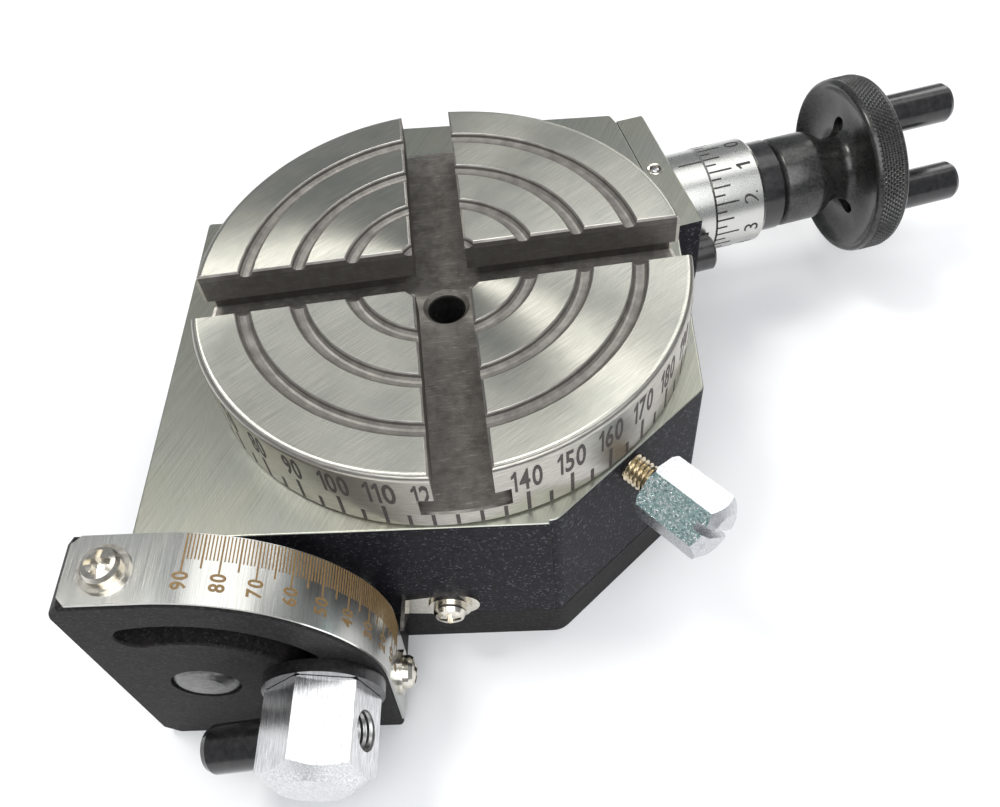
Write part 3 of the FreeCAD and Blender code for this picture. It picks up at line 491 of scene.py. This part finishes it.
class Group:
    def __init__(self):
        self.v, self.f = [], []

    def add(self, vf):
        v, f = vf
        b = len(self.v)
        self.v += v
        self.f += [tuple(b + i for i in q) for q in f]


_glyphs = {}


def glyph(ch, bold=0.010):
    """Outline of a character from the built-in font, as verts (x, y) in a 1 x 1 box plus its width-to-height, and faces."""
    if ch == "1" and (ch, bold) not in _glyphs:
        # a plain one with a flag
        pts = [(0.19, 0), (0.35, 0), (0.35, 1.0), (0.19, 1.0), (0.0, 0.66), (0.20, 0.76), (0.20, 0.96), (0.0, 0.80)]
        _glyphs[ch, bold] = (pts, [(0, 1, 2, 3), (4, 5, 6, 7)], [(0, 1), (1, 2), (2, 3), (3, 0), (4, 5), (5, 6), (6, 7), (7, 4)], 0.35)
    if (ch, bold) not in _glyphs:
        cu = bpy.data.curves.new("tmp_text", "FONT")
        cu.body = ch
        cu.resolution_u = 4
        cu.extrude = 0.0
        cu.offset = bold
        ob = bpy.data.objects.new("tmp_text", cu)
        bpy.context.scene.collection.objects.link(ob)
        me = bpy.data.meshes.new_from_object(ob.evaluated_get(bpy.context.evaluated_depsgraph_get()))
        bm = bmesh.new()
        bm.from_mesh(me)
        bmesh.ops.remove_doubles(bm, verts=bm.verts, dist=1e-5)
        bmesh.ops.triangulate(bm, faces=bm.faces)
        # drop stray slivers that the wider outline may leave beside the character
        todo, islands = set(bm.faces), []
        while todo:
            stack, isle = [todo.pop()], []
            while stack:
                q = stack.pop()
                isle.append(q)
                for e in q.edges:
                    for r in e.link_faces:
                        if r in todo:
                            todo.discard(r)
                            stack.append(r)
            islands.append((sum(q.calc_area() for q in isle), isle))
        top = max(a for a, _ in islands)
        bad = [q for a, isle in islands if a < 0.12 * top for q in isle]
        if bad:
            bmesh.ops.delete(bm, geom=bad, context="FACES")
        xs = [v.co.x for v in bm.verts]
        ys = [v.co.y for v in bm.verts]
        bm.verts.index_update()
        vs = [((v.co.x - min(xs)), (v.co.y - min(ys))) for v in bm.verts]
        h = max(ys) - min(ys)
        w = max(xs) - min(xs)
        vs = [(x / h, y / h) for x, y in vs]
        fs = [tuple(v.index for v in f.verts) for f in bm.faces]
        bd = [tuple(v.index for v in e.verts) for e in bm.edges if len(e.link_faces) == 1]
        _glyphs[ch, bold] = (vs, fs, bd, w / h)
        bm.free()
        bpy.data.meshes.remove(me)
        bpy.data.objects.remove(ob)
        bpy.data.curves.remove(cu)
    return _glyphs[ch, bold]


def text(group, s, fn, height, width=None, gap=0.16, squeeze=1.0, bold=0.010):
    """Characters of s as thin raised plates; fn(x, y, h) with x, y in mm about the text's middle."""
    items = []
    x = 0.0
    for ch in s:
        vs, fs, bd, w = glyph(ch, bold)
        w = max(w, 0.30) * height * squeeze
        items.append((vs, fs, bd, x, glyph(ch, bold)[3] * height * squeeze, w))
        x += w + gap * height * squeeze
    total = x - gap * height * squeeze
    k = (width / total) if width else 1.0
    for vs, fs, bd, x0, gw, w in items:
        pts = [((x0 + (w - gw) / 2 + px * height * squeeze - total / 2) * k, (py - 0.5) * height) for px, py in vs]
        n = len(pts)
        v = [fn(a, b, 0) for a, b in pts] + [fn(a, b, 1) for a, b in pts]
        f = [tuple(n + i for i in q) for q in fs] + [tuple(reversed(q)) for q in fs]
        f += [(a, b, n + b, n + a) for a, b in bd]
        group.add((v, f))


# ---- degree scale on the table rim
RIM_R = 50.0
g = Group()


def rim(a, z, h):
    return V((math.cos(rad(a)) * (RIM_R + h), math.sin(rad(a)) * (RIM_R + h), z))


def slot_gap(a, half, z):
    """True if world angle a is clear of the slot mouths."""
    for k in range(4):
        c = SLOT_TURN + 90 * k
        d = (a - c + 180) % 360 - 180
        w = 16.6 / 2 if z < 57.9 else 10.8 / 2 + 0.5
        if z < 52.9:
            continue
        if abs(d) < math.degrees(math.asin(w / RIM_R)) + half:
            return False
    return True


for v in range(0, 360, 5):
    a = 148.79 + v
    hw = math.degrees(0.36 / RIM_R)
    z0, z1 = 49.35, 55.25 if v % 10 == 0 else 52.7
    if not slot_gap(a, 0.5, z1):
        z1 = 52.9
    g.add(slab(rim, a - hw, a + hw, z0, z1, -0.05, 0.035, 1, 1))
piece("rim_ticks", g.v, g.f, INK, "table")

for v in range(0, 360, 10):
    a = 148.79 + v
    s = str(v)
    g = Group()
    wid = {1: 1.65, 2: 3.75, 3: 5.8}[len(s)]
    text(g, s, lambda x, y, h, a=a: rim(a + math.degrees(x / RIM_R), 59.5 + y, -0.04 + 0.075 * h), 6.5, width=wid, gap=0.13, squeeze=0.6, bold=0.02)
    # leave out what would hang over a slot mouth
    keep = []

    def clear(i):
        p = g.v[i]
        return slot_gap(math.degrees(math.atan2(p.y, p.x)), 0.15, p.z)

    def clip(f, depth):
        ok = [clear(i) for i in f]
        if all(ok):
            keep.append(tuple(f))
        elif depth:
            if len(f) == 4:
                clip((f[0], f[1], f[2]), depth)
                clip((f[0], f[2], f[3]), depth)
                return
            e = [(g.v[f[k]] - g.v[f[(k + 1) % 3]]).length for k in range(3)]
            k = e.index(max(e))
            x, y, z = f[k], f[(k + 1) % 3], f[(k + 2) % 3]
            g.v.append((g.v[x] + g.v[y]) / 2)
            m = len(g.v) - 1
            clip((x, m, z), depth - 1)
            clip((m, y, z), depth - 1)
    for f in list(g.f):
        clip(f, 9)
    used = sorted({i for f in keep for i in f})
    if not used:
        continue
    mp = {o: i for i, o in enumerate(used)}
    piece("rim_number_%03d" % v, [g.v[i] for i in used], [tuple(mp[i] for i in f) for f in keep], INK, "table")

# ---- dial graduations
g = Group()


def on_worm(r0):
    def f(a, s, h):
        return WP + AX * s + (U * math.cos(rad(a)) + Z * math.sin(rad(a))) * (r0 + h)
    return f


DR = 12.68
dial_pt = on_worm(DR)
D_ONE = 109.5
for k in range(40):
    a = D_ONE + 9 * k
    ln = (5.9, 2.7, 4.4, 2.7)[k % 4]
    hw = math.degrees(0.22 / DR)
    g.add(slab(dial_pt, a - hw, a + hw, 69.62, 69.3 + ln, -0.05, 0.03, 1, 1))
for k in range(10):
    a = D_ONE + 36 * (k - 1)
    # top of the digit towards the sleeve
    text(g, str(k), lambda x, y, h, a=a: dial_pt(a - math.degrees(x / DR), 78.3 - y, -0.04 + 0.07 * h), 3.5, squeeze=1.2, bold=0.0)
piece("dial_marks", g.v, g.f, INKD, "dial")
g = Group()
hw = math.degrees(0.22 / 12.5)
g.add(slab(on_worm(12.5), 91.5 - hw, 91.5 + hw, 63.4, 69.1, -0.05, 0.03, 1, 1))
piece("sleeve_zero_mark", g.v, g.f, INKD, "tilt_body")


# ---- graduations on the bent strip
SR = 34.8 + 0.5


def strip_pt(a, y, h):
    """a: degrees about the pivot; past 90 the strip runs flat to the left, below 0 down the side."""
    if a > 90:
        return V((PIV.x - rad(a - 90) * SR, y, PIV.z + SR + h))
    if a < 0:
        d = rad(-a) * SR
        return V((PIV.x + SR + h - 0.034 * d, y, PIV.z - d))
    return V((PIV.x + math.cos(rad(a)) * (SR + h), y, PIV.z + math.sin(rad(a)) * (SR + h)))


g = Group()
for v in range(0, 91):
    a = v - 9.3
    ln = -63.5 if v % 10 == 0 else (-62.8 if v % 5 == 0 else -61.2)
    hw = math.degrees((0.12 if v % 5 else 0.16) / SR)
    g.add(slab(strip_pt, a - hw, a + hw, ln, -56.45, -0.04, 0.06, 1, 1))
piece("strip_ticks", g.v, g.f, INKG, "tilt_base")
g = Group()
for v in range(0, 91, 10):
    a = v - 9.3
    s = str(v)
    text(g, s, lambda x, y, h, a=a: strip_pt(a + math.degrees(y / SR), -65.2 + x, -0.03 + 0.10 * h), 2.7, width=(3.25 if len(s) == 2 else 1.45), squeeze=0.9, bold=0.022)
piece("strip_numbers", g.v, g.f, INKG, "tilt_base")


# ---- handwheel with a knurled band
def smooth(pts, n=3):
    out = []
    for i in range(len(pts) - 1):
        for k in range(n):
            t = k / n
            out.append((pts[i][0] * (1 - t) + pts[i + 1][0] * t, pts[i][1] * (1 - t) + pts[i + 1][1] * t))
    out.append(pts[-1])
    return out


HR = 21.6
TEETH_K = 116
seg = TEETH_K * 8
s0k, s1k = 107.2, 113.0
prof = [(88.35, 5.0), (88.35, 9.7), (88.55, 10.2), (88.9, 10.6), (89.4, 10.8), (97.2, 10.8), (98.4, 10.65), (99.5, 10.2), (100.6, 9.4), (101.8, 8.5), (103.2, 7.9),
        (104.8, 7.65), (106.2, 7.9), (107.3, 8.6), (108.1, 9.8), (108.6, 11.5), (108.75, 13.5), (108.6, 15.5), (108.1, 17.2), (107.3, 18.7), (106.5, 19.7),
        (106.0, 20.2), (105.85, 20.6), (106.0, 21.0), (106.4, 21.3), (107.0, 21.5)]
nk = 40
band = [(s0k + (s1k - s0k) * i / nk, HR) for i in range(nk + 1)]
prof += band + [(113.45, 21.2), (113.8, 20.9), (114.0, 20.4), (113.98, 17.0), (113.9, 11.5), (113.9, 11.0), (113.9, 7.0), (113.9, 5.0)]


def knurl(a, s, r):
    if s < s0k - 1e-6 or s > s1k + 1e-6 or r < HR - 1e-6:
        return r
    t = a / (2 * math.pi)
    k = 1.0 / 1.45
    p = min(tri(TEETH_K * t + s * k), tri(TEETH_K * t - s * k))
    q = min(1.0, max(0.0, p * 1.35 - 0.05))
    edge = min(1.0, (s - s0k) / 0.35, (s1k - s) / 0.35)
    return r - 0.45 + 0.45 * q * max(0.0, edge)


vs, fs = lathe(prof, WP, AX, Z, seg, knurl, True)
hw_obj = piece("handwheel_knurled", vs, fs, KNURL, "worm", 40, ("handwheel",))

# drill the handwheel for its pins and the grub screw
PINS = [WP + (U * math.cos(rad(54.2)) + Z * math.sin(rad(54.2))) * (9.76 * sg) for sg in (1, -1)]


def drill(obj, origin, d, r, a, b):
    ref = V((0, 0, 1)) if abs(d.z) < 0.9 else V((1, 0, 0))
    ref = (ref - d * ref.dot(d)).normalized()
    v, f = lathe([(a, r), (b, r)], origin, d, ref, 32, None, False)
    f = solid_rod_caps(v, f, 32, 2)
    me = bpy.data.meshes.new("cutter")
    me.from_pydata([p * MM for p in v], [], f)
    bm = bmesh.new()
    bm.from_mesh(me)
    bmesh.ops.recalc_face_normals(bm, faces=bm.faces)
    bm.to_mesh(me)
    bm.free()
    c = bpy.data.objects.new("cutter", me)
    bpy.context.scene.collection.objects.link(c)
    return c


def cut(obj, cutters):
    bpy.context.view_layer.update()
    for i, c in enumerate(cutters):
        m = obj.modifiers.new("cut%d" % i, "BOOLEAN")
        m.operation = "DIFFERENCE"
        m.solver = "EXACT"
        m.object = c
    dg = bpy.context.evaluated_depsgraph_get()
    new = bpy.data.meshes.new_from_object(obj.evaluated_get(dg))
    obj.modifiers.clear()
    old = obj.data
    obj.data = new
    bpy.data.meshes.remove(old)
    for c in cutters:
        me = c.data
        bpy.data.objects.remove(c)
        bpy.data.meshes.remove(me)


cut(hw_obj, [drill(hw_obj, p, AX, 2.4, 100, 120) for p in PINS] + [drill(hw_obj, p, AX, 3.0, 109.75, 120) for p in PINS] + [drill(hw_obj, WP + AX * 94.5, V((0, 0, -1)), 2.05, 5.5, 14)])

# ---- threads
thread_rod("lock_thread", LP, LN, Z, 3.0, 1.0, 0.55, 30.0, 57.2, BRASS, "lock_turner", 72, 12, repl=("lock_stud",))
BD = V((math.cos(rad(15)), 0, math.sin(rad(15))))
NC = V((STUD.x, -79.9, STUD.z))
thread_rod("nut_cross_thread", NC, BD, V((0, -1, 0)), 3.28, 1.25, 0.40, 0.6, 9.35, STEEL, "clamp_turner", 64, 12, inner=True, rout=3.70)

# ball in the oiler
OIL = AX * 57.6 + U * 31.07 + V((0, 0, 48.56))
vs, fs = lathe([(-1.2, 0.15), (-1.1, 0.7), (-0.75, 1.05), (-0.35, 1.14), (-0.05, 1.0), (0.1, 0.7), (0.17, 0.3), (0.18, 0.05)], OIL, Z, AX, 32, None, False)
fs = solid_rod_caps(vs, fs, 32, 8)
piece("oiler_ball", vs, fs, STEEL, "tilt_body", 60)

# ---------------------------------------------------------------- stage, light
me = bpy.data.meshes.new("floor")
L = 3.0
me.from_pydata([(-L, -L, -0.0002), (L, -L, -0.0002), (L, L, -0.0002), (-L, L, -0.0002)], [], [(0, 1, 2, 3)])
floor = bpy.data.objects.new("floor", me)
bpy.context.scene.collection.objects.link(floor)
F = Mat("floor_paper")
F.set(color=F.ramp(F.noise(0.02, None, 2.0), [(0.3, (0.90, 0.90, 0.91)), (0.7, (0.94, 0.94, 0.945))]), rough=0.75)
me.materials.append(F.m)

w = bpy.data.worlds.new("world")
bpy.context.scene.world = w
w.use_nodes = True
bg = w.node_tree.nodes["Background"]
bg.inputs[0].default_value = (0.93, 0.96, 1.0, 1)
bg.inputs[1].default_value = 0.34
bpy.context.scene.view_settings.view_transform = "Standard"


def area(name, loc, target, size, energy, color=(1, 1, 1), size_y=None):
    l = bpy.data.lights.new(name, "AREA")
    l.energy = energy
    l.size = size
    l.color = color
    if size_y:
        l.shape = "RECTANGLE"
        l.size_y = size_y
    o = bpy.data.objects.new(name, l)
    o.location = loc
    o.rotation_euler = (Vector(target) - Vector(loc)).to_track_quat("-Z", "Y").to_euler()
    bpy.context.scene.collection.objects.link(o)
    return o


area("key", (-0.34, 0.06, 0.88), (0, 0, 0.03), 0.22, 3.0, (1, 0.985, 0.955))
area("front", (0.12, -0.55, 0.72), (0, -0.05, 0.0), 0.75, 6.2, (0.98, 0.99, 1.0))
area("top", (0.24, 0.28, 0.86), (0, 0, 0.03), 0.55, 1.6, (1, 1, 1))
area("back", (0.50, 0.55, 0.45), (0.02, 0, 0.05), 0.35, 1.5, (1, 0.99, 0.97))

R = [(0.997423319615228, -0.006342941654863881, -0.07145969898412421),
     (-0.047686874910797615, -0.8027928469179779, -0.594348051985173),
     (-0.05359742017094286, 0.5962242967445146, -0.8010267814015511)]
cam = bpy.data.cameras.new("cam")
cam.sensor_width = 36.0
cam.lens = 969.3856 * 36.0 / 1000.0
co = bpy.data.objects.new("cam", cam)
right, up, back = Vector(R[0]), -Vector(R[1]), -Vector(R[2])
M3 = Matrix((right, up, back)).transposed()
co.matrix_world = Matrix.Translation((0.021036, -0.137089, 0.202308)) @ M3.to_4x4()
cam.clip_start, cam.clip_end = 0.01, 20
bpy.context.scene.collection.objects.link(co)
bpy.context.scene.camera = co
